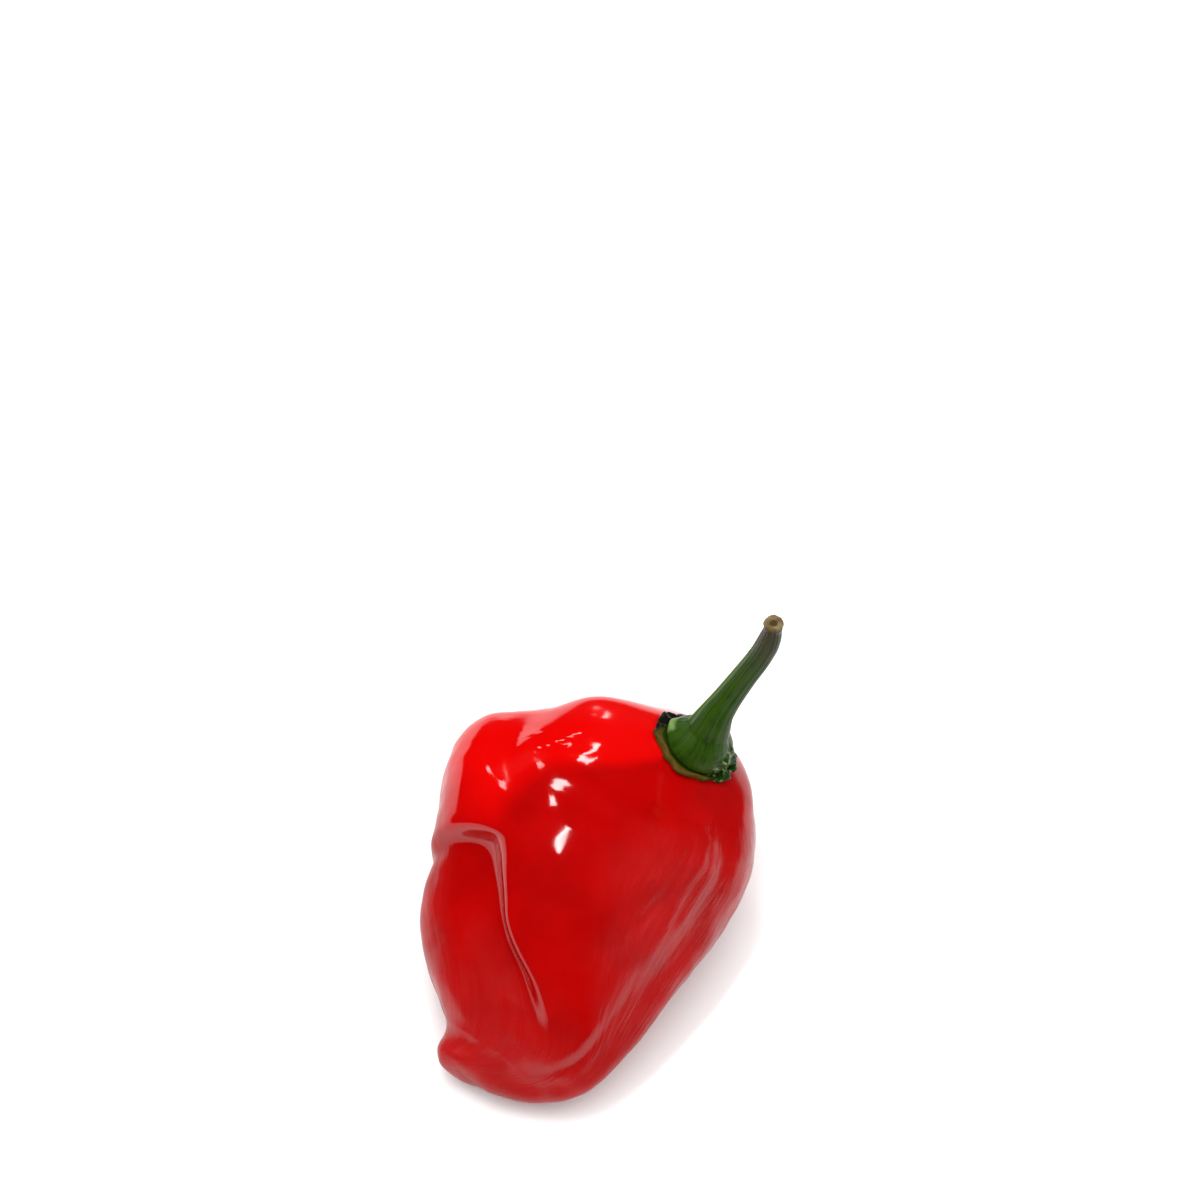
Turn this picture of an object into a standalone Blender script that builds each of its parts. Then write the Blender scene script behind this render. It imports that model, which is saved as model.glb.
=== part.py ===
"""A ripe habanero pepper, picked with its stem and lying on its side.

The pod is one solid and its green calyx grows into the stem as another.  Units are metres.  The
pepper lies on the plane z = 0, with its blossom end towards -X and its stem towards +X.
"""

import math
from typing import NamedTuple

import bmesh
import bpy
import numpy as np

MM = 0.001

# The pod is a run of rings from the nipple at the blossom end to the middle of the calyx.
# Each row is a ring that steers it: run from 0 to 1, middle (x, y, z), half width, half height,
# lean, which is how many degrees the ring's axis points up from level, and roll, which is how many
# degrees the ring's +Y side is turned up.
POD_RINGS = (
    (0.00, -23.4, 5.2, 4.7, 0.0, 0.0, 0.0, 0.0),
    (0.05, -22.9, 4.2, 4.7, 2.4, 2.1, -4.0, 0.0),
    (0.14, -20.6, 2.4, 4.6, 7.2, 3.9, -2.0, 0.0),
    (0.24, -17.1, 1.5, 6.6, 11.6, 6.2, 1.0, 0.0),
    (0.38, -9.4, 3.4, 9.4, 16.1, 9.5, 8.6, 0.0),
    (0.52, -0.5, 4.2, 11.5, 18.0, 12.0, 16.0, 0.0),
    (0.66, 7.9, 5.5, 12.6, 19.7, 13.9, 25.0, 0.0),
    (0.78, 14.9, 5.6, 14.5, 19.0, 13.7, 39.0, 0.0),
    (0.88, 19.5, 4.3, 17.4, 14.8, 11.5, 51.0, 2.0),
    (0.95, 22.1, 0.7, 20.2, 8.2, 7.5, 65.0, 15.0),
    (1.00, 23.3, -1.3, 21.6, 0.0, 0.0, 74.0, 26.0),
)
SKIN_LENGTH = 66.0
# How far the tops of the rings lean over towards +Y at the blossom end, as a share of their height.
LOLL = 0.3
POD_SEGMENTS = 84
POD_RING_COUNT = 60
CROWDING = 0.45


class Fold(NamedTuple):
    """A lobe's edge: the skin steps down to the left of its path, then comes slowly back."""

    path: tuple  # rows of run, angle, depth and how wide the step is
    left: float  # how far the low skin reaches
    overhang: float  # how far the edge leans out over the step where it is full_depth deep
    full_depth: float
    end: float  # the run where the low skin ends in a ledge
    end_wall: float  # how wide that ledge is
    end_slant: float  # how much nearer the blossom end it lies for each millimetre to the left


class Groove(NamedTuple):
    """A soft valley along the pod, alike on both sides."""

    path: tuple  # rows of run, angle and depth
    reach: float


class Hollow(NamedTuple):
    """A dent, or a swelling where its depth is negative, with its own reach on four sides."""

    run: float
    angle: float
    depth: float
    stem: float
    tip: float
    left: float
    right: float
    turn: float = 0.0


# Angles are degrees from the top towards +Y, which is the left side looking from the tip to the
# stem.  Depths and reaches are millimetres.
MAIN_FOLD = Fold(
    path=(
        (0.16, -50.0, 0.0, 2.0), (0.23, -40.5, 0.8, 2.0), (0.29, -28.0, 2.0, 2.0),
        (0.33, -18.0, 2.7, 2.0), (0.37, -6.0, 3.2, 2.0), (0.40, 0.0, 3.4, 2.0),
        (0.45, 7.0, 3.4, 2.4), (0.50, 14.5, 3.0, 3.0), (0.55, 19.5, 2.2, 3.2),
        (0.60, 22.0, 1.8, 3.0), (0.65, 25.0, 0.0, 3.0),
    ),
    left=17.0, overhang=0.7, full_depth=3.4, end=0.560, end_wall=1.2, end_slant=0.32,
)
GROOVES = (
    Groove(((0.57, 28.0, 0.0), (0.66, 25.0, 0.6), (0.74, 27.0, 0.9), (0.80, 40.0, 0.7),
            (0.86, 62.0, 0.6), (0.92, 80.0, 0.0)), 4.0),
    Groove(((0.38, -28.0, 0.0), (0.47, -36.0, 0.4), (0.56, -46.0, 0.35), (0.68, -52.0, 0.0)),
           2.5),
    Groove(((0.20, -74.0, 0.0), (0.30, -74.0, 0.3), (0.42, -72.0, 0.7), (0.60, -73.0, 0.8),
            (0.75, -70.0, 0.7), (0.90, -66.0, 0.3), (0.97, -62.0, 0.0)), 2.4),
    Groove(((0.12, -34.0, 0.0), (0.15, -29.0, 0.3), (0.21, -21.0, 0.35), (0.27, -15.0, 0.0)),
           0.9),
    Groove(((0.12, 120.0, 0.0), (0.35, 118.0, 1.8), (0.65, 112.0, 2.4), (0.90, 110.0, 0.8),
            (0.97, 110.0, 0.0)), 5.0),
    Groove(((0.15, -135.0, 0.0), (0.40, -132.0, 1.2), (0.70, -138.0, 1.5),
            (0.96, -140.0, 0.0)), 5.0),
)
# The rib runs along the pod's lower right edge from beside the nipple, and stands up.
RIB = Groove(((0.04, -88.0, 0.0), (0.10, -94.0, 0.8), (0.20, -97.0, 1.0), (0.36, -94.0, 0.8),
              (0.50, -90.0, 0.5), (0.70, -85.0, 0.0)), 2.0)
HOLLOWS = (
    Hollow(run=0.50, angle=30.0, depth=0.8, stem=5.0, tip=8.0, left=5.0, right=8.0, turn=0.0),
    Hollow(run=0.93, angle=86.0, depth=-1.4, stem=2.5, tip=3.0, left=4.0, right=4.5),
    Hollow(run=0.78, angle=78.0, depth=-1.6, stem=5.0, tip=9.0, left=8.0, right=6.0),
    Hollow(run=0.15, angle=76.0, depth=2.4, stem=6.0, tip=4.0, left=12.0, right=7.0),
)
# The skin is pressed flat this much where the pod rests.
REST_PRESS = 0.4

# The calyx is draped on the pod's skin round the stem.  Each row of its section is a place along
# the section, a share of its rim's reach, and a height over the skin: out under it, round the rim,
# and up the crown to the root of the stem.
CLEARANCE = 0.3
CALYX_REACH = 0.030
CALYX_SECTION = (
    (0.00, 0.00, CLEARANCE),
    (0.30, 0.90, CLEARANCE),
    (0.36, 1.00, CLEARANCE),
    (0.42, 1.06, 0.75),
    (0.48, 1.00, 1.15),
    (0.56, 0.84, 1.15),
    (0.64, 0.72, 1.05),
    (0.74, 0.62, 1.60),
    (0.88, 0.54, 2.20),
    (1.00, 0.46, 2.80),
)
RIM_PLACE = 0.42
RIM_WIDTH = 0.12
CALYX_LOBES = 5
LOBE_DEPTH = 0.06
LOBE_TURN = 0.6
CALYX_SHARE = 0.40

# The stem: share of its length, place (x, y, z) and radius.
STEM_ROUTE = (
    (0.00, 24.2, -1.6, 22.7, 2.45),
    (0.12, 25.2, -1.9, 25.1, 2.05),
    (0.28, 27.0, -2.2, 27.8, 1.72),
    (0.46, 29.2, -3.1, 31.0, 1.55),
    (0.66, 31.2, -4.2, 34.4, 1.45),
    (0.84, 32.2, -4.8, 37.5, 1.35),
    (0.95, 32.5, -4.9, 39.6, 1.08),
    (1.00, 32.5, -4.9, 40.4, 1.10),
)
STEM_RIDGES = 5
RIDGE_DEPTH = 0.03
CUT_SHARE = 0.93
STEM_SEGMENTS = 30
STEM_RING_COUNT = 50

# The middle of the pepper's own box among the rows above; it is carried over the origin.
MIDDLE = (5.08, 6.13, 0.0)

# Small steps of run and share for reading a direction off a skin.
TINY = 0.002
NEARBY = 0.01

POD_RED = (0.62, 0.012, 0.008, 1.0)
POD_ROUGHNESS = 0.16
STEM_GREEN = (0.045, 0.16, 0.012, 1.0)
STEM_ROUGHNESS = 0.45


def ringed(rows, flip):
    """Adds the row that mirrors each pole, so that the curve through the rows closes round."""
    rows = np.array(rows, float)
    before, after = rows[1].copy(), rows[-2].copy()
    before[0], after[0] = -before[0], 2.0 - after[0]
    before[flip], after[flip] = -before[flip], -after[flip]
    return np.vstack((before, rows, after))


def curve_through(rows, run):
    """Reads a smooth curve through rows whose first column is the run, at each value of run."""
    rows = np.asarray(rows, float)
    knots, values = rows[:, 0], rows[:, 1:]
    slopes = np.gradient(values, knots, axis=0)
    place = np.clip(np.searchsorted(knots, run, side="right") - 1, 0, len(knots) - 2)
    width = knots[place + 1] - knots[place]
    part = np.clip((run - knots[place]) / width, 0.0, 1.0)[..., None]
    width = width[..., None]
    start, end = values[place], values[place + 1]
    rise = part * part * (3.0 - 2.0 * part)
    return (
        start * (1.0 - rise)
        + end * rise
        + width * part * (1.0 - part) ** 2 * slopes[place]
        - width * part ** 2 * (1.0 - part) * slopes[place + 1]
    )


def turned(angle):
    """Brings an angle in radians into the half turn either side of zero."""
    return (angle + math.pi) % (2.0 * math.pi) - math.pi


def read_path(path, run):
    """A fold's or groove's angle in radians, depth and step width, if any, at each run."""
    first, last = path[0][0], path[-1][0]
    line = np.moveaxis(curve_through(path, np.clip(run, first, last)), -1, 0)
    depth = np.clip(line[1], 0.0, None) * ((run > first) & (run < last))
    return np.radians(line[0]), depth, *line[2:]


def fold_step(fold, run, angle, radius):
    """How far a fold draws the skin in and leans it out over the step, in millimetres."""
    line, depth, wall = read_path(fold.path, run)
    across = turned(angle - line) * radius
    step = 0.5 + 0.5 * np.tanh(2.0 * across / wall)
    past_end = (run - fold.end) * SKIN_LENGTH + fold.end_slant * across
    step = step * (0.5 - 0.5 * np.tanh(2.0 * past_end / fold.end_wall))
    low = np.exp(-((np.clip(across, 0.0, None) / fold.left) ** 2))
    edge = np.exp(-((across / wall + 0.5) ** 2))
    lean_out = fold.overhang * edge * np.clip(depth / fold.full_depth, 0.0, 1.0)
    return depth * step * low, lean_out


def groove_depth(groove, run, angle, radius):
    """How far a groove draws the skin in, in millimetres."""
    line, depth = read_path(groove.path, run)
    across = turned(angle - line) * radius
    return depth * np.exp(-((across / groove.reach) ** 2))


def hollow_depth(hollow, run, angle, radius):
    """How far a hollow draws the skin in, in millimetres."""
    along = (run - hollow.run) * SKIN_LENGTH
    across = turned(angle - math.radians(hollow.angle)) * radius
    cos, sin = math.cos(math.radians(hollow.turn)), math.sin(math.radians(hollow.turn))
    u, v = along * cos + across * sin, across * cos - along * sin
    u = u / np.where(u > 0.0, hollow.stem, hollow.tip)
    v = v / np.where(v > 0.0, hollow.left, hollow.right)
    return hollow.depth * np.exp(-(u * u + v * v))


def plain_skin(run, angle):
    """The pod before its folds: a point on each ring, and the ring's mean radius."""
    ring = curve_through(ringed(POD_RINGS, [4, 5]), run)
    x, y, z, half_width, half_height, lean, roll = np.moveaxis(ring, -1, 0)
    side, rise = half_width * np.sin(angle), half_height * np.cos(angle)
    lean, roll = np.radians(lean), np.radians(roll)
    x = x - rise * np.sin(lean)
    y = y + side * np.cos(roll) + LOLL * (1.0 - run) * rise
    z = z + side * np.sin(roll) + rise * np.cos(lean)
    points = np.stack((x, y, z), axis=-1)
    return points, np.sqrt(np.clip(half_width * half_height, 0.0, None))


def outward(run, angle):
    """The direction square to the plain skin."""
    run = np.clip(run, 2.0 * TINY, 1.0 - 2.0 * TINY)
    along = plain_skin(run + TINY, angle)[0] - plain_skin(run - TINY, angle)[0]
    round_it = plain_skin(run, angle + TINY)[0] - plain_skin(run, angle - TINY)[0]
    normal = np.cross(along, round_it)
    return normal / np.linalg.norm(normal, axis=-1, keepdims=True)


def pod_skin(run, angle):
    """The pod's skin at a run along it and an angle round it, in millimetres."""
    radius = plain_skin(run, angle)[1]
    drawn_in, lean_out = fold_step(MAIN_FOLD, run, angle, radius)
    drawn_in = drawn_in + sum(groove_depth(groove, run, angle, radius) for groove in GROOVES)
    drawn_in = drawn_in + sum(hollow_depth(hollow, run, angle, radius) for hollow in HOLLOWS)
    drawn_in = drawn_in - groove_depth(RIB, run, angle, radius)
    angle = angle + lean_out / np.maximum(radius, 1.0)
    points = plain_skin(run, angle)[0] - drawn_in[..., None] * outward(run, angle)
    points[..., 2] = np.maximum(points[..., 2], REST_PRESS) - REST_PRESS
    return points


def calyx_skin(place, angle):
    """The calyx at a place along its section and an angle round it."""
    share, height = np.moveaxis(curve_through(CALYX_SECTION, place), -1, 0)
    at_rim = np.exp(-(((place - RIM_PLACE) / RIM_WIDTH) ** 2))
    lobes = np.cos(CALYX_LOBES * angle + LOBE_TURN)
    reach = CALYX_REACH * share * (1.0 + LOBE_DEPTH * lobes * at_rim)
    lean, roll = np.radians(POD_RINGS[-1][-2:])
    axis = np.array((math.cos(roll) * math.cos(lean), -math.sin(roll) * math.sin(lean),
                     math.cos(roll) * math.sin(lean)))
    return pod_skin(1.0 - reach, angle) + height[..., None] * axis


def stem_skin(share, angle):
    """The stem at a share of its length and an angle round it, and its cut end past 1."""
    route = curve_through(STEM_ROUTE, np.clip(share, 0.0, 1.0))
    ahead = curve_through(STEM_ROUTE, np.clip(share, 0.0, 1.0 - NEARBY) + NEARBY)
    behind = curve_through(STEM_ROUTE, np.clip(share, NEARBY, 1.0) - NEARBY)
    way = (ahead - behind)[..., :3]
    way = way / np.linalg.norm(way, axis=-1, keepdims=True)
    side = np.array((0.0, 1.0, 0.0)) - way[..., 1:2] * way
    side = side / np.linalg.norm(side, axis=-1, keepdims=True)
    up = np.cross(way, side)
    radius = route[..., 3] * (1.0 + RIDGE_DEPTH * np.cos(STEM_RIDGES * angle))
    radius = radius * np.clip((1.0 - share) / (1.0 - CUT_SHARE) + 1.0, 0.0, 1.0)
    round_it = side * np.sin(angle)[..., None] + up * np.cos(angle)[..., None]
    return route[..., :3] + radius[..., None] * round_it


def calyx_and_stem_skin(run, angle):
    """Runs from under the calyx, round its rim and up the stem to the middle of its cut end."""
    place = np.clip(run / CALYX_SHARE, 0.0, 1.0)
    share = np.clip((run - CALYX_SHARE) / (CUT_SHARE - CALYX_SHARE), 0.0, None)
    share = np.where(share > 1.0, 1.0 + (run - CUT_SHARE), share)
    on_stem = (run > CALYX_SHARE)[..., None]
    return np.where(on_stem, stem_skin(share, angle), calyx_skin(place, angle))


def finish(name, colour, roughness):
    """A Principled material for one skin."""
    material = bpy.data.materials.new(name)
    material.use_nodes = True
    shader = material.node_tree.nodes["Principled BSDF"]
    shader.inputs["Base Color"].default_value = colour
    shader.inputs["Roughness"].default_value = roughness
    shader.inputs["Metallic"].default_value = 0.0
    return material


def along_fold(run, angle):
    """Draws the sphere's meridians together towards the main fold and turns them along it."""
    line = read_path(MAIN_FOLD.path, run)[0]
    return angle - CROWDING * np.sin(angle) + line * (0.5 + 0.5 * np.cos(angle))


def pod_shape(run, angle):
    """The pod's skin under the sphere's point at a run and a meridian."""
    return pod_skin(run, along_fold(run, angle))


def globe(name, segments, ring_count, shape, material):
    """A UV sphere whose points are carried by shape(run, angle) on to the real skin."""
    mesh = bpy.data.meshes.new(name)
    bm = bmesh.new()
    bmesh.ops.create_uvsphere(bm, u_segments=segments, v_segments=ring_count, radius=1.0)
    places = np.array([vert.co[:] for vert in bm.verts])
    run = np.arccos(np.clip(-places[:, 2], -1.0, 1.0)) / math.pi
    angle = np.arctan2(places[:, 1], places[:, 0])
    for vert, point in zip(bm.verts, shape(run, angle)):
        vert.co = (point - MIDDLE) * MM
    bm.normal_update()
    bmesh.ops.recalc_face_normals(bm, faces=bm.faces)
    bm.to_mesh(mesh)
    bm.free()
    mesh.shade_smooth()
    mesh.materials.append(material)
    return bpy.data.objects.new(name, mesh)


def build():
    """Clears the scene and models the pepper."""
    for old in list(bpy.data.objects):
        bpy.data.objects.remove(old, do_unlink=True)
    pepper = bpy.data.collections.new("habanero_pepper")
    bpy.context.scene.collection.children.link(pepper)
    red = finish("red_skin", POD_RED, POD_ROUGHNESS)
    green = finish("green_stem", STEM_GREEN, STEM_ROUGHNESS)
    pepper.objects.link(globe("pod", POD_SEGMENTS, POD_RING_COUNT, pod_shape, red))
    pepper.objects.link(
        globe("calyx_and_stem", STEM_SEGMENTS, STEM_RING_COUNT, calyx_and_stem_skin, green)
    )


build()
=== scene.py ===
"""A ripe habanero pepper, picked with its stem and lying on its side on a pale table.

The pepper's sizes are in millimetres until a mesh is made, and in metres from there on.
"""

import math
from typing import NamedTuple

import bpy
import numpy as np
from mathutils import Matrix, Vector


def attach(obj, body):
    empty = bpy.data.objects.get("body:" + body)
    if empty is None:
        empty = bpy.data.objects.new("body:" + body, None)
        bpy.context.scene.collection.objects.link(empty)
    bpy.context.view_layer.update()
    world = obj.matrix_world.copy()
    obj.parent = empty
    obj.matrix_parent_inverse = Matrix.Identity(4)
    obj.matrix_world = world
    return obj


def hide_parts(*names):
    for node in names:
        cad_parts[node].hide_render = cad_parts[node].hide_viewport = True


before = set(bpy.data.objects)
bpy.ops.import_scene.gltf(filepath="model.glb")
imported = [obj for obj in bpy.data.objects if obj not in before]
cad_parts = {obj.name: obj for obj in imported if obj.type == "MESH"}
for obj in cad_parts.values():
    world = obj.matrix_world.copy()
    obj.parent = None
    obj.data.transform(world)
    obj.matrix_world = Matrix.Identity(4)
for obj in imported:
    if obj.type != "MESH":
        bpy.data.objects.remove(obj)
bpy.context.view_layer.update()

# The camera looks steeply down from over the blossom end, through a long lens.
CAMERA_PLACE = (-0.17050, -0.11952, 0.36845)
CAMERA_HEIGHT_ANGLE = 55.2
CAMERA_TURN = -56.0
CAMERA_LENS = 100.0
CAMERA_SENSOR = 36.0
CAMERA_NEAREST = 0.01

bpy.ops.object.select_all(action="DESELECT")
bpy.ops.object.camera_add(
    location=CAMERA_PLACE,
    rotation=(math.radians(90.0 - CAMERA_HEIGHT_ANGLE), 0.0, math.radians(CAMERA_TURN)),
)
camera = bpy.context.object
camera.name = "camera"
camera.data.lens = CAMERA_LENS
camera.data.sensor_width = CAMERA_SENSOR
camera.data.clip_start = CAMERA_NEAREST
bpy.context.scene.camera = camera
bpy.context.scene.view_settings.view_transform = "Standard"

# A pale room and a wide softbox overhead light the table and the pepper with hardly a shadow.  The
# skin mirrors neither: what it mirrors is a slim strip lamp, two small windows and the table.
LAMPS = {
    # name: azimuth and height in degrees, distance, width and length in metres, watts
    "softbox": (0.0, 90.0, 1.00, 1.40, 1.40, 13.0),
    "strip": (180.0, 81.0, 0.80, 0.38, 0.028, 1.3),
    "window": (131.0, 47.0, 0.90, 0.07, 0.08, 0.45),
    "far_window": (141.0, 33.0, 0.90, 0.10, 0.07, 0.24),
}
UNMIRRORED = "softbox"
ROOM_WHITE = (1.0, 1.0, 1.0, 1.0)
ROOM_LIGHT = 0.80

for name, (azimuth, height, distance, width, length, watts) in LAMPS.items():
    turn, rise = math.radians(azimuth), math.radians(height)
    towards = Vector((math.sin(turn) * math.cos(rise), -math.cos(turn) * math.cos(rise),
                      math.sin(rise)))
    facing = towards.to_track_quat("Z", "Y").to_euler()
    bpy.ops.object.light_add(type="AREA", location=towards * distance, rotation=facing)
    lamp = bpy.context.object
    lamp.name = name
    lamp.visible_camera = False
    lamp.visible_glossy = name != UNMIRRORED
    lamp.data.shape = "RECTANGLE"
    lamp.data.size = width
    lamp.data.size_y = length
    lamp.data.energy = watts

room = bpy.data.worlds.new("room")
room.use_nodes = True
room.node_tree.nodes["Background"].inputs["Color"].default_value = ROOM_WHITE
room.node_tree.nodes["Background"].inputs["Strength"].default_value = ROOM_LIGHT
bpy.context.scene.world = room
room.cycles_visibility.glossy = False

# The table is a plain white sheet, bright enough to light the pepper's underside.
TABLE_SIZE = 3.0
TABLE_WHITE = (0.86, 0.86, 0.86, 1.0)
TABLE_ROUGHNESS = 0.9
TABLE_SPECULAR = 0.1

bpy.ops.mesh.primitive_plane_add(size=TABLE_SIZE, location=(0.0, 0.0, 0.0))
table = bpy.context.object
table.name = "table"
paper = bpy.data.materials.new("white_paper")
paper.use_nodes = True
surface = paper.node_tree.nodes["Principled BSDF"].inputs
surface["Base Color"].default_value = TABLE_WHITE
surface["Roughness"].default_value = TABLE_ROUGHNESS
surface["Specular IOR Level"].default_value = TABLE_SPECULAR
table.data.materials.append(paper)

# The pod is the fruit itself: a thin, waxy wall grown in one piece, drawn into lobes by deep
# folds, with a short nipple at its blossom end.  It is shaped from a sphere, ring by ring.
MM = 0.001
# Each row is a ring that steers the pod: run from 0 to 1, middle (x, y, z), half width, half
# height, lean, which is how many degrees the ring's axis points up from level, and roll, which is
# how many degrees the ring's +Y side is turned up.
POD_RINGS = (
    (0.00, -23.4, 5.2, 4.7, 0.0, 0.0, 0.0, 0.0),
    (0.05, -22.9, 4.2, 4.7, 2.4, 2.1, -4.0, 0.0),
    (0.14, -20.6, 2.4, 4.6, 7.2, 3.9, -2.0, 0.0),
    (0.24, -17.1, 1.5, 6.6, 11.6, 6.2, 1.0, 0.0),
    (0.38, -9.4, 3.4, 9.4, 16.1, 9.5, 8.6, 0.0),
    (0.52, -0.5, 4.2, 11.5, 18.0, 12.0, 16.0, 0.0),
    (0.66, 7.9, 5.5, 12.6, 19.7, 13.9, 25.0, 0.0),
    (0.78, 14.9, 5.6, 14.5, 19.0, 13.7, 39.0, 0.0),
    (0.88, 19.5, 4.3, 17.4, 14.8, 11.5, 51.0, 2.0),
    (0.95, 22.1, 0.7, 20.2, 8.2, 7.5, 65.0, 15.0),
    (1.00, 23.3, -1.3, 21.6, 0.0, 0.0, 74.0, 26.0),
)
RING_HALVES = [4, 5]
SKIN_LENGTH = 66.0
# How far the tops of the rings lean over towards +Y at the blossom end, as a share of their height.
LOLL = 0.3
POD_SEGMENTS = 336
POD_RING_COUNT = 256
# How closely the sphere's meridians are drawn together at the top, where the fold runs.
CROWDING = 0.45
# The middle of the pepper's own box among the rings; it is carried over the origin.
MIDDLE = (5.08, 6.13, 0.0)
# How deep the underside is pressed flat.
REST_PRESS = 0.4
# A short step of run or angle, over which the skin's slope is read.
TINY = 0.002
LEAST_RADIUS = 1.0
# How sharply the fold's overhang fades where it is shallower than its full depth.
OVERHANG_FADE = 3


class Fold(NamedTuple):
    """A lobe's edge: the skin steps down to the left of its path, then comes slowly back."""

    path: tuple  # rows of run, angle, depth and how wide the step is
    left: float  # how far the low skin reaches
    overhang: float  # how far the edge leans out over the step where it is full_depth deep
    full_depth: float
    end: float  # the run where the low skin ends in a ledge
    end_wall: float  # how wide that ledge is
    end_slant: float  # how much nearer the blossom end it lies for each millimetre to the left


class Groove(NamedTuple):
    """A soft valley along the pod, alike on both sides."""

    path: tuple  # rows of run, angle and depth
    reach: float


class Hollow(NamedTuple):
    """A dent, or a swelling where its depth is negative, with its own reach on four sides."""

    run: float
    angle: float
    depth: float
    stem: float
    tip: float
    left: float
    right: float


class Patch(NamedTuple):
    """A rounded patch: the run and angle in radians of its middle, and its reach along each."""

    run: float
    angle: float
    reach: float
    width: float


# Angles are degrees from the top towards +Y, which is the left side looking from the tip to the
# stem.  Depths and reaches are millimetres.
MAIN_FOLD = Fold(
    path=(
        (0.16, -50.0, 0.0, 3.2), (0.23, -40.5, 0.8, 3.2), (0.29, -28.0, 2.0, 2.8),
        (0.33, -18.0, 2.7, 2.4), (0.37, -6.0, 3.2, 2.2), (0.40, 0.0, 3.4, 2.0),
        (0.45, 7.0, 3.4, 2.4), (0.50, 14.5, 3.0, 3.0), (0.55, 19.5, 2.2, 3.2),
        (0.60, 22.0, 1.8, 3.0), (0.65, 25.0, 0.0, 3.0),
    ),
    left=17.0, overhang=0.7, full_depth=3.4, end=0.560, end_wall=1.2, end_slant=0.32,
)
GROOVES = (
    Groove(((0.57, 28.0, 0.0), (0.66, 25.0, 0.6), (0.74, 27.0, 0.9), (0.80, 40.0, 0.7),
            (0.86, 62.0, 0.6), (0.92, 80.0, 0.0)), 4.0),
    Groove(((0.38, -28.0, 0.0), (0.47, -36.0, 0.4), (0.56, -46.0, 0.35), (0.68, -52.0, 0.0)),
           2.5),
    Groove(((0.20, -74.0, 0.0), (0.30, -74.0, 0.3), (0.42, -72.0, 0.7), (0.60, -73.0, 0.8),
            (0.75, -70.0, 0.7), (0.90, -66.0, 0.3), (0.97, -62.0, 0.0)), 2.4),
    Groove(((0.12, -34.0, 0.0), (0.15, -29.0, 0.3), (0.21, -21.0, 0.35), (0.27, -15.0, 0.0)),
           0.9),
    Groove(((0.12, 120.0, 0.0), (0.35, 118.0, 1.8), (0.65, 112.0, 2.4), (0.90, 110.0, 0.8),
            (0.97, 110.0, 0.0)), 5.0),
    Groove(((0.15, -135.0, 0.0), (0.40, -132.0, 1.2), (0.70, -138.0, 1.5),
            (0.96, -140.0, 0.0)), 5.0),
)
# Fine creases where the skin turns down to the table.
CREASES = (
    Groove(((0.46, -44.0, 0.0), (0.60, -49.0, 0.20), (0.78, -50.0, 0.22), (0.93, -46.0, 0.0)), 0.8),
    Groove(((0.55, -63.0, 0.0), (0.68, -60.0, 0.20), (0.80, -60.0, 0.16), (0.92, -58.0, 0.0)), 0.7),
    Groove(((0.16, -60.0, 0.0), (0.24, -66.0, 0.25), (0.40, -66.0, 0.15), (0.52, -62.0, 0.0)), 0.8),
    Groove(((0.13, -4.0, 0.0), (0.17, -9.0, 0.20), (0.23, -8.0, 0.15), (0.28, -4.0, 0.0)), 0.5),
)
# The rib runs along the pod's lower right edge from beside the nipple, and stands up.
RIB = Groove(((0.04, -88.0, 0.0), (0.10, -94.0, 0.8), (0.20, -97.0, 1.0), (0.36, -94.0, 0.8),
              (0.50, -90.0, 0.5), (0.70, -85.0, 0.0)), 2.0)
HOLLOWS = (
    Hollow(run=0.50, angle=30.0, depth=0.8, stem=5.0, tip=8.0, left=5.0, right=8.0),
    Hollow(run=0.93, angle=86.0, depth=-1.9, stem=2.5, tip=2.4, left=4.0, right=4.5),
    Hollow(run=0.78, angle=78.0, depth=-1.6, stem=5.0, tip=9.0, left=8.0, right=6.0),
    Hollow(run=0.15, angle=76.0, depth=2.4, stem=6.0, tip=4.0, left=12.0, right=4.5),
)
# A row of beads on the shoulder beside the calyx: the run and angle of each.
BEAD_ROW = (
    (0.845, 34.6), (0.861, 36.8), (0.876, 38.8), (0.890, 42.0), (0.902, 45.5), (0.912, 49.0),
    (0.922, 55.5), (0.931, 64.0),
)
BEAD_HEIGHT = 0.07
BEAD_REACH = 0.5
BEADS = tuple(
    Hollow(run, angle, -BEAD_HEIGHT, BEAD_REACH, BEAD_REACH, BEAD_REACH, BEAD_REACH)
    for run, angle in BEAD_ROW
)
# Unevenness of the skin: the size of its bumps and how high they stand, in metres.
SKIN_WAVES = ((0.0120, 0.00008), (0.0030, 0.00001))
SHOULDER_WAVES = (0.0018, 0.00022)
SHOULDER_PATCH = Patch(run=0.88, angle=0.45, reach=0.06, width=0.50)
FLANK_WAVES = (0.0038, 0.00040)
# The flanks begin where the cosine of the angle falls below FLANK_COSINE.  The blossom end is
# flank all round, which fades out over TIP_FADE before the run TIP_END, and the stem end has none.
FLANK_COSINE = 0.9
TIP_END, TIP_FADE = 0.40, 0.25
FLANK_END, FLANK_FADE = 0.97, 0.15


def ringed(rows, flip):
    """Adds the row that mirrors each pole, so that the curve through the rows closes round."""
    rows = np.array(rows, float)
    before, after = rows[1].copy(), rows[-2].copy()
    before[0], after[0] = -before[0], 2.0 - after[0]
    before[flip], after[flip] = -before[flip], -after[flip]
    return np.vstack((before, rows, after))


def eased(part):
    """A rise from 0 to 1 that starts and ends level."""
    return part * part * (3.0 - 2.0 * part)


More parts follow.
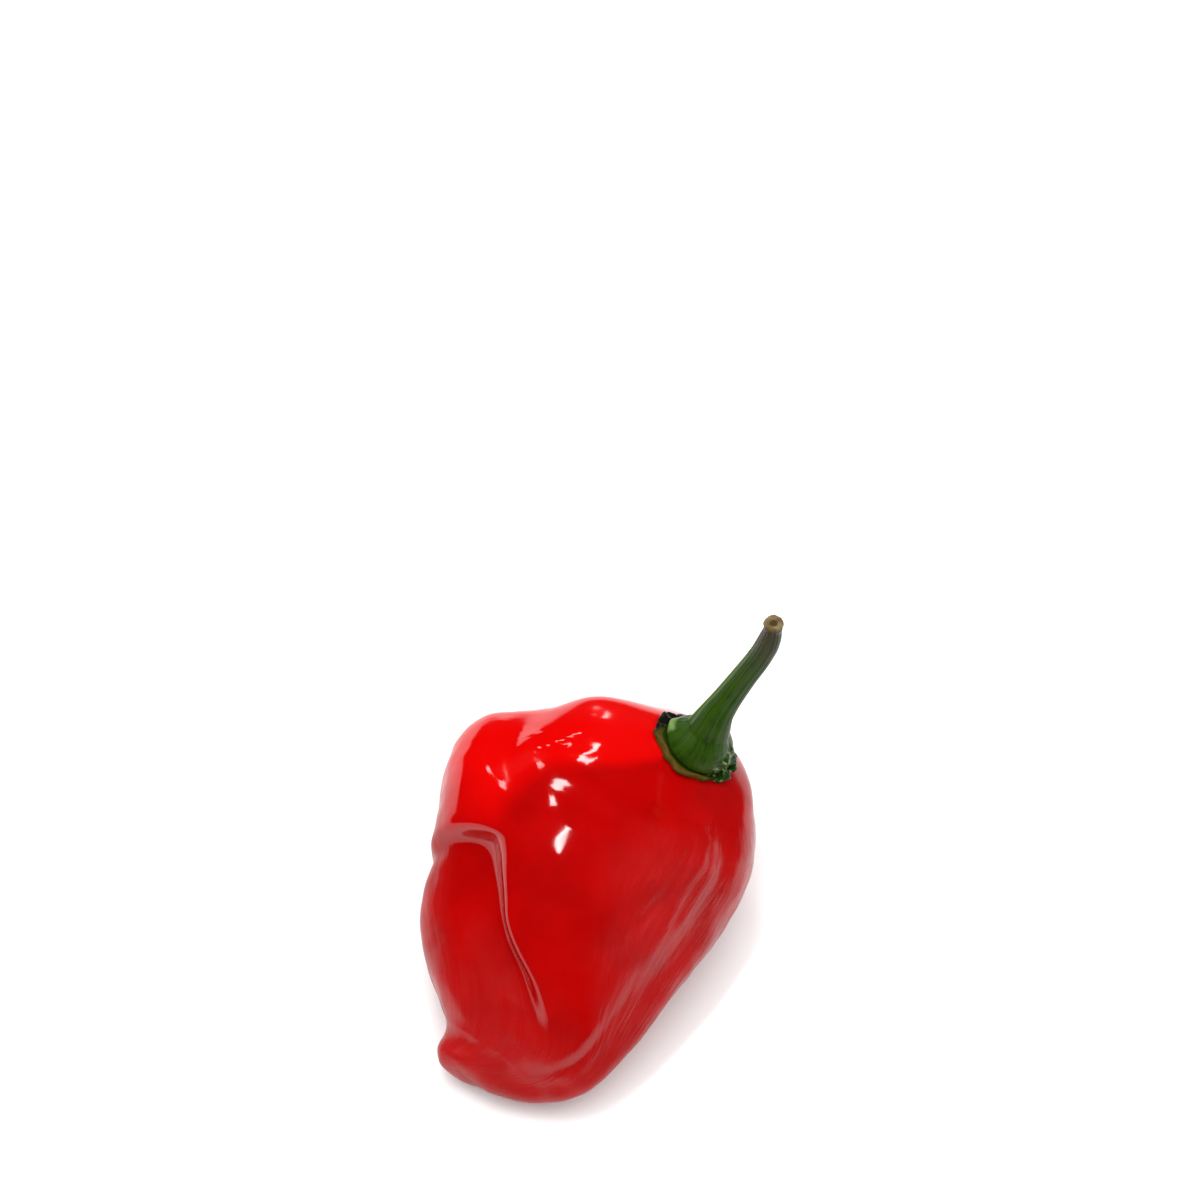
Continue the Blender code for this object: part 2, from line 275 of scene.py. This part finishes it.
def curve_through(rows, run):
    """Reads a smooth curve through rows whose first column is the run, at each value of run."""
    rows = np.asarray(rows, float)
    knots, values = rows[:, 0], rows[:, 1:]
    slopes = np.gradient(values, knots, axis=0)
    place = np.clip(np.searchsorted(knots, run, side="right") - 1, 0, len(knots) - 2)
    width = knots[place + 1] - knots[place]
    part = np.clip((run - knots[place]) / width, 0.0, 1.0)[..., None]
    width = width[..., None]
    rise = eased(part)
    return (
        values[place] * (1.0 - rise)
        + values[place + 1] * rise
        + width * part * (1.0 - part) ** 2 * slopes[place]
        - width * part ** 2 * (1.0 - part) * slopes[place + 1]
    )


def unit(vectors):
    """Each vector at a length of 1."""
    return vectors / np.linalg.norm(vectors, axis=-1, keepdims=True)


def turned(angle):
    """Brings an angle in radians into the half turn either side of zero."""
    return (angle + math.pi) % (2.0 * math.pi) - math.pi


def in_patch(patch, run, angle):
    """1 at a patch's middle, falling to 0 round it."""
    along, across = run - patch.run, turned(angle - patch.angle)
    return np.exp(-((along / patch.reach) ** 2) - (across / patch.width) ** 2)


def read_path(path, run):
    """A fold's or groove's angle in radians, depth and step width, if any, at each run."""
    first, last = path[0][0], path[-1][0]
    line = np.moveaxis(curve_through(path, np.clip(run, first, last)), -1, 0)
    depth = np.clip(line[1], 0.0, None) * ((run > first) & (run < last))
    return np.radians(line[0]), depth, *line[2:]


def fold_step(fold, run, angle, radius):
    """How far a fold draws the skin in and leans it out over the step, in millimetres."""
    line, depth, wall = read_path(fold.path, run)
    across = turned(angle - line) * radius
    step = 0.5 + 0.5 * np.tanh(2.0 * across / wall)
    past_end = (run - fold.end) * SKIN_LENGTH + fold.end_slant * across
    step = step * (0.5 - 0.5 * np.tanh(2.0 * past_end / fold.end_wall))
    low = np.exp(-((np.clip(across, 0.0, None) / fold.left) ** 2))
    edge = np.exp(-((across / wall + 0.5) ** 2))
    share = np.clip(depth / fold.full_depth, 0.0, 1.0)
    lean_out = fold.overhang * edge * share ** OVERHANG_FADE
    return depth * step * low, lean_out


def groove_depth(groove, run, angle, radius):
    """How far a groove draws the skin in, in millimetres."""
    line, depth = read_path(groove.path, run)
    across = turned(angle - line) * radius
    return depth * np.exp(-((across / groove.reach) ** 2))


def hollow_depth(hollow, run, angle, radius):
    """How far a hollow draws the skin in, in millimetres."""
    along = (run - hollow.run) * SKIN_LENGTH
    across = turned(angle - math.radians(hollow.angle)) * radius
    along = along / np.where(along > 0.0, hollow.stem, hollow.tip)
    across = across / np.where(across > 0.0, hollow.left, hollow.right)
    return hollow.depth * np.exp(-(along * along + across * across))


def plain_skin(run, angle):
    """The pod before its folds: a point on each ring, and the ring's mean radius."""
    ring = curve_through(ringed(POD_RINGS, RING_HALVES), run)
    x, y, z, half_width, half_height, lean, roll = np.moveaxis(ring, -1, 0)
    side, rise = half_width * np.sin(angle), half_height * np.cos(angle)
    lean, roll = np.radians(lean), np.radians(roll)
    x = x - rise * np.sin(lean)
    y = y + side * np.cos(roll) + LOLL * (1.0 - run) * rise
    z = z + side * np.sin(roll) + rise * np.cos(lean)
    points = np.stack((x, y, z), axis=-1)
    return points, np.sqrt(np.clip(half_width * half_height, 0.0, None))


def outward(run, angle):
    """The direction square to the plain skin."""
    run = np.clip(run, 2.0 * TINY, 1.0 - 2.0 * TINY)
    along = plain_skin(run + TINY, angle)[0] - plain_skin(run - TINY, angle)[0]
    round_it = plain_skin(run, angle + TINY)[0] - plain_skin(run, angle - TINY)[0]
    return unit(np.cross(along, round_it))


def pod_skin(run, angle):
    """The pod's skin at a run along it and an angle round it, in millimetres."""
    radius = plain_skin(run, angle)[1]
    drawn_in, lean_out = fold_step(MAIN_FOLD, run, angle, radius)
    grooves = GROOVES + CREASES
    drawn_in = drawn_in + sum(groove_depth(groove, run, angle, radius) for groove in grooves)
    hollows = HOLLOWS + BEADS
    drawn_in = drawn_in + sum(hollow_depth(hollow, run, angle, radius) for hollow in hollows)
    drawn_in = drawn_in - groove_depth(RIB, run, angle, radius)
    angle = angle + lean_out / np.maximum(radius, LEAST_RADIUS)
    points = plain_skin(run, angle)[0] - drawn_in[..., None] * outward(run, angle)
    points[..., 2] = np.maximum(points[..., 2], REST_PRESS) - REST_PRESS
    return points


def pod_shape(run, angle):
    """The pod's skin, with the sphere's meridians drawn together and turned along the fold."""
    line = read_path(MAIN_FOLD.path, run)[0]
    angle = angle - CROWDING * np.sin(angle) + line * (0.5 + 0.5 * np.cos(angle))
    return pod_skin(run, angle)


def new_sphere(name, segments, ring_count):
    """Adds the unit sphere that a piece is shaped from."""
    bpy.ops.object.select_all(action="DESELECT")
    bpy.ops.mesh.primitive_uv_sphere_add(segments=segments, ring_count=ring_count, radius=1.0)
    piece = bpy.context.object
    piece.name = name
    return piece


def reshape(piece, shape):
    """Carries each point of a unit sphere to shape(run, angle), and returns run and angle."""
    places = np.empty(len(piece.data.vertices) * 3)
    piece.data.vertices.foreach_get("co", places)
    places = places.reshape(-1, 3)
    run = np.arccos(np.clip(-places[:, 2], -1.0, 1.0)) / math.pi
    angle = np.arctan2(places[:, 1], places[:, 0])
    points = (shape(run, angle) - MIDDLE) * MM
    piece.data.vertices.foreach_set("co", points.ravel())
    piece.data.update()
    return run, angle


def ripple(piece, size, height, group=""):
    """Raises and sinks a piece's points a little, by a cloudy pattern of the given size."""
    cloud = bpy.data.textures.new("clouds", "CLOUDS")
    cloud.noise_scale = size
    cloud.noise_depth = 1
    uneven = piece.modifiers.new("uneven", "DISPLACE")
    uneven.texture = cloud
    uneven.texture_coords = "LOCAL"
    uneven.strength = height
    uneven.mid_level = 0.5
    uneven.vertex_group = group
    bpy.ops.object.modifier_apply(modifier=uneven.name)


def grouped(piece, name, weights):
    """Puts each of a piece's points in a vertex group by its own weight, and returns its name."""
    group = piece.vertex_groups.new(name=name)
    for place, weight in enumerate(weights):
        group.add((place,), float(weight), "REPLACE")
    return name


def keep_lie(piece, name, run, angle):
    """Keeps each point's lie for the patterns: the way round as a unit circle, and the run."""
    lie = piece.data.attributes.new(name, "FLOAT_VECTOR", "POINT")
    lie.data.foreach_set("vector", np.stack((np.cos(angle), np.sin(angle), run), axis=-1).ravel())


class Wire:
    """A socket of a material.  Sums on wires add the Math nodes that work them out."""

    def __init__(self, tree, socket=None):
        self.tree = tree
        self.socket = socket

    def node(self, kind, settings=None, inputs=None, output=0):
        """Adds a node: first its settings are set, then its sockets' wires and values."""
        node = self.tree.nodes.new(kind)
        for name, value in (settings or {}).items():
            setattr(node, name, value)
        for name, value in (inputs or {}).items():
            if isinstance(value, Wire):
                self.tree.links.new(value.socket, node.inputs[name])
            else:
                node.inputs[name].default_value = value
        return Wire(self.tree, node.outputs[output])

    def math(self, operation, *values):
        """A Math node on wires or numbers."""
        return self.node("ShaderNodeMath", {"operation": operation}, dict(enumerate(values)))

    def __add__(self, other):
        return self.math("ADD", self, other)

    def __radd__(self, other):
        return self.math("ADD", other, self)

    def __sub__(self, other):
        return self.math("SUBTRACT", self, other)

    def __rsub__(self, other):
        return self.math("SUBTRACT", other, self)

    def __mul__(self, other):
        return self.math("MULTIPLY", self, other)

    def __rmul__(self, other):
        return self.math("MULTIPLY", other, self)

    def attribute(self, name, output):
        """What a piece keeps for its patterns under this name."""
        return self.node("ShaderNodeAttribute", {"attribute_name": name}, output=output)

    def lie_parts(self):
        """A lie's three parts: how far up, how far left, and the run."""
        return [
            self.node("ShaderNodeSeparateXYZ", inputs={"Vector": self}, output=axis)
            for axis in ("X", "Y", "Z")
        ]

    def clouds(self, size, detail=2.0, roughness=0.5, place=None):
        """Noise from 0 to 1 whose patches are about the given size in metres."""
        place = place or self.node("ShaderNodeTexCoord", output="Object")
        return self.node(
            "ShaderNodeTexNoise",
            inputs={"Vector": place, "Scale": 1.0 / size, "Detail": detail, "Roughness": roughness},
        )

    def between(self, low, high):
        """This value's rise from 0 at low to 1 at high, eased at both ends."""
        return self.node(
            "ShaderNodeMapRange", {"interpolation_type": "SMOOTHSTEP"},
            {"Value": self, "From Min": low, "From Max": high},
        )

    def mix(self, first, second):
        """The first colour where this value is 0 and the second where it is 1."""
        return self.node(
            "ShaderNodeMix", {"data_type": "RGBA"}, {0: self, 6: first, 7: second}, output=2
        )


def new_finish(name, **constants):
    """A Principled material, its constant values set, and a wire to build its pattern from."""
    finish = bpy.data.materials.new(name)
    finish.use_nodes = True
    shader = finish.node_tree.nodes["Principled BSDF"]
    for socket, value in constants.items():
        shader.inputs[socket.replace("_", " ")].default_value = value
    return finish, Wire(finish.node_tree), shader


def feed(shader, **wires):
    """Links each wire to the shader's socket of that name."""
    for socket, wire in wires.items():
        wire.tree.links.new(wire.socket, shader.inputs[socket.replace("_", " ")])


pod = new_sphere("pod_skin", POD_SEGMENTS, POD_RING_COUNT)
run, angle = reshape(pod, pod_shape)
for size, height in SKIN_WAVES:
    ripple(pod, size, height)
# The shoulder beside the calyx, the flanks and the blossom end are uneven.
near_calyx = in_patch(SHOULDER_PATCH, run, angle)
ripple(pod, *SHOULDER_WAVES, group=grouped(pod, "shoulder", near_calyx))
at_tip = np.clip((TIP_END - run) / TIP_FADE, 0.0, 1.0)
drooping = np.clip(FLANK_COSINE - np.cos(angle) + at_tip, 0.0, 1.0)
drooping = drooping * np.clip((FLANK_END - run) / FLANK_FADE, 0.0, 1.0)
ripple(pod, *FLANK_WAVES, group=grouped(pod, "flanks", drooping))
# The pepper's weight presses its lowest skin flat on the table.
for point in pod.data.vertices:
    point.co.z = max(point.co.z, 0.0)
bpy.ops.object.shade_smooth()
keep_lie(pod, "lie_of_skin", run, angle)

# The skin is red, a deeper one down in patches, and finely wrinkled lengthwise where it turns down
# to the table.  The lighter red on its upper left shoulder is painted light, where the lamps fall.
# The lighter shoulder red is painted light, for the lamps falling on the upper left shoulder.
LIT_SHOULDER_RED = (0.50, 0.0008, 0.0006, 1.0)
LOBE_RED = (0.32, 0.0006, 0.0006, 1.0)
DEEP_RED = (0.27, 0.0005, 0.0006, 1.0)
# The sizes of its patterns: metres, and for the wrinkles the scale of the lie of the skin.
SWAY_SIZE = 0.010
MOTTLE_SIZE = 0.006
PEEL_SIZE = 0.0014
WRINKLE_SIZE = 0.075
WRINKLE_STRETCH = (1.0, 1.0, 0.45)
# How much the edges of its patches sway, and how high the peel stands beside the wrinkles.
SWAY = 0.2
PEEL_HEIGHT = 0.02
RELIEF = 0.00035
# Where its looks change.  Runs go from 0 at the blossom end to 1 at the calyx, and sides and
# heights from -1 on the right and below to 1 on the left and on top.
# Where the painted light on the shoulder lies, by run and by side.
LIT_SHOULDER_RUNS = (0.50, 0.72)
LIT_SHOULDER_SIDES = (-0.40, 0.12)
MOTTLES = (0.35, 0.70)
FLANK_DEPTHS = (0.45, 1.00)
FLANK_SHINE_RUNS = (0.70, 0.88)
CROWN_SIDES = (0.05, 0.35)
CROWN_HEIGHTS = (0.35, 0.65)
CROWN_RUNS = (0.60, 0.75)
TIP_RUNS = (0.14, 0.42)
RUBBED_RUNS = (0.71, 0.75)
RUBBED_END = (0.83, 0.87)
RUBBED_SIDES = (-0.04, 0.08)
RUBBED_EDGE = (0.25, 0.45)
WRINKLED_SIDES = (0.9, 1.4)
WRINKLED_RUNS = (0.20, 0.50)
UNWRINKLED_RUNS = (0.84, 0.95)
# Roughness of the glossy skin, and what dull, wrinkled and rubbed skin adds to it.
GLOSSY = 0.07
DULL = 0.09
WRINKLED = 0.34
RUBBED = 0.10

red_skin, pattern, shader = new_finish("ripe_red_skin", IOR=1.46, Specular_IOR_Level=0.40)
lie = pattern.attribute("lie_of_skin", "Vector")
upward, leftward, along = lie.lie_parts()
sway = pattern.clouds(SWAY_SIZE, detail=3.0) * SWAY - 0.5 * SWAY
# A painted pool of lamp light on the upper left shoulder, mixed into the skin's red.
shoulder = (along + sway).between(*LIT_SHOULDER_RUNS) * (leftward + sway).between(*LIT_SHOULDER_SIDES)
mottled = pattern.clouds(MOTTLE_SIZE, detail=3.0).between(*MOTTLES)
colour = shoulder.mix(mottled.mix(LOBE_RED, DEEP_RED), LIT_SHOULDER_RED)
flank = (1.0 - (upward + sway)).between(*FLANK_DEPTHS)
flank = flank * (1.0 - 0.6 * along.between(*FLANK_SHINE_RUNS))
crown = leftward.between(*CROWN_SIDES) * upward.between(*CROWN_HEIGHTS)
crown = crown * along.between(*CROWN_RUNS)
tipward = 1.0 - (along + sway).between(*TIP_RUNS)
dull = pattern.math("MAXIMUM", flank * (1.0 - crown), tipward)
stretched = pattern.node(
    "ShaderNodeVectorMath", {"operation": "MULTIPLY"}, {0: lie, 1: WRINKLE_STRETCH}
)
wrinkles = pattern.clouds(WRINKLE_SIZE, detail=5.0, roughness=0.6, place=stretched)
rubbed = along.between(*RUBBED_RUNS) * (1.0 - along.between(*RUBBED_END))
rubbed = rubbed * leftward.between(*RUBBED_SIDES) * (1.0 - leftward.between(*RUBBED_EDGE))
glossy = dull * (wrinkles * WRINKLED + DULL) + rubbed * RUBBED + GLOSSY
peel = pattern.clouds(PEEL_SIZE) * PEEL_HEIGHT
rightward = (1.0 - leftward).between(*WRINKLED_SIDES) * along.between(*WRINKLED_RUNS)
lengthwise = wrinkles * dull * (rightward * 0.8 + 0.2)
lengthwise = lengthwise * (1.0 - along.between(*UNWRINKLED_RUNS))
dimpled = pattern.node(
    "ShaderNodeBump", inputs={"Height": peel + lengthwise, "Strength": 0.8, "Distance": RELIEF}
)
feed(shader, Base_Color=colour, Roughness=glossy, Normal=dimpled)
pod.data.materials.append(red_skin)
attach(pod, "root")
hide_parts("pod")

# The calyx and stem are one green, woody growth: a crumpled rim and cup that sit on the pod's
# shoulder, drawn up into a ridged stem that was cut across.  They are draped on the pod's skin.
CALYX_REACH = 0.030
# Each row of the calyx's section is a place along the section, a share of its rim's reach, and a
# height over the skin: out under it, round the rim, and up the cup to the root of the stem.
CALYX_SECTION = (
    (0.00, 0.00, -0.3),
    (0.28, 0.88, -0.3),
    (0.34, 0.98, 0.0),
    (0.40, 1.03, 0.45),
    (0.46, 1.00, 0.85),
    (0.52, 0.92, 0.80),
    (0.57, 0.84, 0.45),
    (0.62, 0.85, 0.95),
    (0.70, 0.84, 1.65),
    (0.80, 0.76, 2.25),
    (0.90, 0.65, 2.70),
    (1.00, 0.55, 3.05),
)
RIM_PLACE = 0.44
RIM_WIDTH = 0.09
# The rim's waves: how many there are round it, how deep as a share of its reach, and their turn.
RIM_WAVES = ((5, 0.055, 0.6), (11, 0.03, 2.0), (17, 0.015, 0.5))
# A pale knob on the cup's left, how high it stands, and how far out as a share of the reach.
KNOB = Patch(run=0.66, angle=1.30, reach=0.05, width=0.25)
KNOB_HEIGHT = 0.80
KNOB_OUT = 0.10
# Where the calyx has dried, and the size and height of its crumples there, in metres.
DRIED_PATCHES = (
    Patch(run=0.44, angle=1.70, reach=0.09, width=0.55),
    Patch(run=0.54, angle=-1.75, reach=0.22, width=0.72),
)
CRUMPLES = (0.0012, 0.0028)
# The share of the whole growth's run that the calyx takes, and the place where its cup starts to
# be drawn up into the stem.
CALYX_SHARE = 0.40
DRAWN_PLACE = 0.60
# The stem: share of its length, place (x, y, z) and radius.
STEM_ROUTE = (
    (0.00, 24.5, -1.4, 24.1, 2.75),
    (0.08, 25.2, -1.6, 25.5, 2.35),
    (0.28, 26.9, -2.1, 27.8, 1.80),
    (0.46, 29.2, -3.1, 31.0, 1.55),
    (0.66, 31.2, -4.2, 34.4, 1.45),
    (0.84, 32.2, -4.8, 37.5, 1.33),
    (0.92, 32.5, -4.9, 39.2, 1.10),
    (0.97, 32.5, -4.9, 39.9, 1.22),
    (1.00, 32.5, -4.9, 40.4, 1.10),
)
# The stem's ridges: how many there are round it, how high as a share of its radius, their turn.
STEM_RIDGES = ((5, 0.035, 0.0), (9, 0.018, 1.0), (16, 0.010, 0.4))
# The run where the stem ends in its cut, and how deep the cut's middle has shrunk.
CUT_SHARE = 0.93
CUT_DIP = 0.25
STEM_SEGMENTS = 160
STEM_RING_COUNT = 300
# A short share of the stem, over which its direction is read.
NEARBY = 0.01


def waves(rows, angle):
    """The sum of waves round a ring, from rows of how many, how high and their turn."""
    return sum(height * np.cos(count * angle + turn) for count, height, turn in rows)


def stem_skin(share, angle):
    """The stem at a share of its length and an angle round it, and its cut end past 1."""
    route = curve_through(STEM_ROUTE, np.clip(share, 0.0, 1.0))
    ahead = curve_through(STEM_ROUTE, np.clip(share, 0.0, 1.0 - NEARBY) + NEARBY)
    behind = curve_through(STEM_ROUTE, np.clip(share, NEARBY, 1.0) - NEARBY)
    way = unit((ahead - behind)[..., :3])
    side = unit(np.array((0.0, 1.0, 0.0)) - way[..., 1:2] * way)
    up = np.cross(way, side)
    inward = np.clip((share - 1.0) / (1.0 - CUT_SHARE), 0.0, 1.0)
    radius = route[..., 3] * (1.0 + waves(STEM_RIDGES, angle)) * (1.0 - inward)
    dip = CUT_DIP * np.sin(0.5 * math.pi * inward) ** 2
    round_it = side * np.sin(angle)[..., None] + up * np.cos(angle)[..., None]
    return route[..., :3] + radius[..., None] * round_it - dip[..., None] * way


def calyx_skin(place, angle):
    """The calyx at a place along its section and an angle round it, drawn up into the stem."""
    share, height = np.moveaxis(curve_through(CALYX_SECTION, place), -1, 0)
    at_rim = np.exp(-(((place - RIM_PLACE) / RIM_WIDTH) ** 2))
    knob = in_patch(KNOB, place, angle)
    reach = CALYX_REACH * share * (1.0 + waves(RIM_WAVES, angle) * at_rim + KNOB_OUT * knob)
    lean, roll = np.radians(POD_RINGS[-1][-2:])
    axis = np.array((math.cos(roll) * math.cos(lean), -math.sin(roll) * math.sin(lean),
                     math.cos(roll) * math.sin(lean)))
    height = height + KNOB_HEIGHT * knob
    points = pod_skin(1.0 - reach, angle) + height[..., None] * axis
    drawn = eased(np.clip((place - DRAWN_PLACE) / (1.0 - DRAWN_PLACE), 0.0, 1.0))[..., None]
    return points * (1.0 - drawn) + stem_skin(np.zeros_like(place), angle) * drawn


def calyx_and_stem_skin(run, angle):
    """Runs from under the calyx, round its rim and up the stem to the middle of its cut end."""
    place = np.clip(run / CALYX_SHARE, 0.0, 1.0)
    share = np.clip((run - CALYX_SHARE) / (CUT_SHARE - CALYX_SHARE), 0.0, None)
    share = np.where(share > 1.0, 1.0 + (run - CUT_SHARE), share)
    on_stem = (run > CALYX_SHARE)[..., None]
    return np.where(on_stem, stem_skin(share, angle), calyx_skin(place, angle))


stem = new_sphere("green_calyx_and_stem", STEM_SEGMENTS, STEM_RING_COUNT)
run, angle = reshape(stem, calyx_and_stem_skin)
crumpled = sum(in_patch(patch, run / CALYX_SHARE, angle) for patch in DRIED_PATCHES)
ripple(stem, *CRUMPLES, group=grouped(stem, "crumpled", crumpled))
bpy.ops.object.shade_smooth()
keep_lie(stem, "lie_of_growth", run, angle)
dried = stem.data.attributes.new("dried", "FLOAT", "POINT")
dried.data.foreach_set("value", crumpled)

# The growth is green with lengthwise fibres, browned towards the cut, blackish where it has dried,
# and tan on the cut itself, round a brown pith.  A paler green along its left side is a painted
# highlight, the crease between the rim and the cup is darkened as painted shade, and pale speckles
# on its crumpled dried patch are painted glints.
CUP_GREEN = (0.020, 0.052, 0.0010, 1.0)
# The paler green is a painted highlight along the stem's left side.
LIT_EDGE_GREEN = (0.060, 0.120, 0.010, 1.0)
# The knob's own pale green, also used for the painted glints on the dried patch.
KNOB_AND_GLINT_GREEN = (0.130, 0.210, 0.060, 1.0)
DARK_GREEN = (0.008, 0.026, 0.0010, 1.0)
OLIVE = (0.075, 0.042, 0.005, 1.0)
BROWN = (0.024, 0.020, 0.006, 1.0)
BLACKISH = (0.006, 0.006, 0.004, 1.0)
CUT_TAN = (0.23, 0.17, 0.085, 1.0)
PITH_BROWN = (0.05, 0.035, 0.015, 1.0)
# The sizes of its patterns: metres, and for the fibres the scale of the lie of the growth.
FIBRE_SIZE = 0.16
BLOTCH_SIZE = 0.0016
GLINT_SPECKLE_SIZE = 0.0006
WRINKLE_RELIEF = 0.00025
# Where its looks change.  Runs go from 0 under the calyx to 1 in the middle of the cut.
GREEN_CHANGE = (0.28, 0.58)
# Where the painted highlight on the stem's left side lies.
LIT_EDGE_SIDES = (0.85, 1.15)
LIT_EDGE_RUNS = (0.36, 0.50)
BROWNED_RUNS = (0.78, 1.00)
BROWNED_FIBRES = (0.45, 0.75)
KNOB_EDGE = (0.012, 0.030)
KNOB_SIDES = (0.940, 0.990)
# Where the painted shade in the crease between the rim and the cup lies.
SHADED_CREASE_START = (0.212, 0.226)
SHADED_CREASE_END = (0.236, 0.252)
RIM_END = (0.205, 0.220)
RIM_BLOTCHES = (0.25, 0.55)
# How much of the dried patch the painted glints speckle.
GLINT_SPECKLES = (0.52, 0.66)
BLACKISH_SIDES = (-0.3, 0.1)
DRIED_EDGE = (0.35, 0.90)
CUT_EDGE = (0.918, 0.934)
PITH_EDGE = (0.970, 0.980)
TAN_BLOTCHES = (0.30, 0.70)

green_stem, pattern, shader = new_finish("green_stem", IOR=1.45, Specular_IOR_Level=0.22)
lie = pattern.attribute("lie_of_growth", "Vector")
upward, leftward, along = lie.lie_parts()
dry = pattern.attribute("dried", "Fac")
fibres = pattern.clouds(FIBRE_SIZE, detail=3.0, place=lie)
blotches = pattern.clouds(BLOTCH_SIZE, detail=3.0)
green = (fibres * 0.6 + blotches * 0.4).between(*GREEN_CHANGE).mix(DARK_GREEN, CUP_GREEN)
# A painted highlight: paler green along the left side of the stem's foot.
pale = (leftward + fibres * 0.4).between(*LIT_EDGE_SIDES) * along.between(*LIT_EDGE_RUNS)
green = pale.mix(green, LIT_EDGE_GREEN)
browned = (along + blotches * 0.3).between(*BROWNED_RUNS)
green = (browned * (fibres + 0.2).between(*BROWNED_FIBRES)).mix(green, BROWN)
knob_far = pattern.math("ABSOLUTE", along - KNOB.run * CALYX_SHARE)
towards_knob = upward * math.cos(KNOB.angle) + leftward * math.sin(KNOB.angle)
on_knob = (1.0 - knob_far.between(*KNOB_EDGE)) * towards_knob.between(*KNOB_SIDES)
green = on_knob.mix(green, KNOB_AND_GLINT_GREEN)
# Painted shade: the crease between the rim and the cup is darkened to dark green.
shaded_crease = along.between(*SHADED_CREASE_START) * (1.0 - along.between(*SHADED_CREASE_END))
green = shaded_crease.mix(green, DARK_GREEN)
on_rim = 1.0 - along.between(*RIM_END)
green = (on_rim * blotches.between(*RIM_BLOTCHES)).mix(green, OLIVE)
# Painted glints: pale speckles on the dried patch's own dark green stand in for its sparkling
# highlights.
glint_speckled = pattern.clouds(GLINT_SPECKLE_SIZE).between(*GLINT_SPECKLES).mix(DARK_GREEN, KNOB_AND_GLINT_GREEN)
dead = leftward.between(*BLACKISH_SIDES).mix(glint_speckled, BLACKISH)
green = (dry * 2.0 + blotches * 0.4).between(*DRIED_EDGE).mix(green, dead)
ragged = along + blotches * 0.01
tan = blotches.between(*TAN_BLOTCHES).mix(OLIVE, CUT_TAN)
colour = ragged.between(*CUT_EDGE).mix(green, tan)
colour = ragged.between(*PITH_EDGE).mix(colour, PITH_BROWN)
wrinkled = pattern.node(
    "ShaderNodeBump",
    inputs={"Height": fibres + blotches * 0.6, "Strength": 0.5, "Distance": WRINKLE_RELIEF},
)
feed(shader, Base_Color=colour, Roughness=fibres * 0.20 + 0.24, Normal=wrinkled)
stem.data.materials.append(green_stem)
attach(stem, "root")
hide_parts("calyx_and_stem")
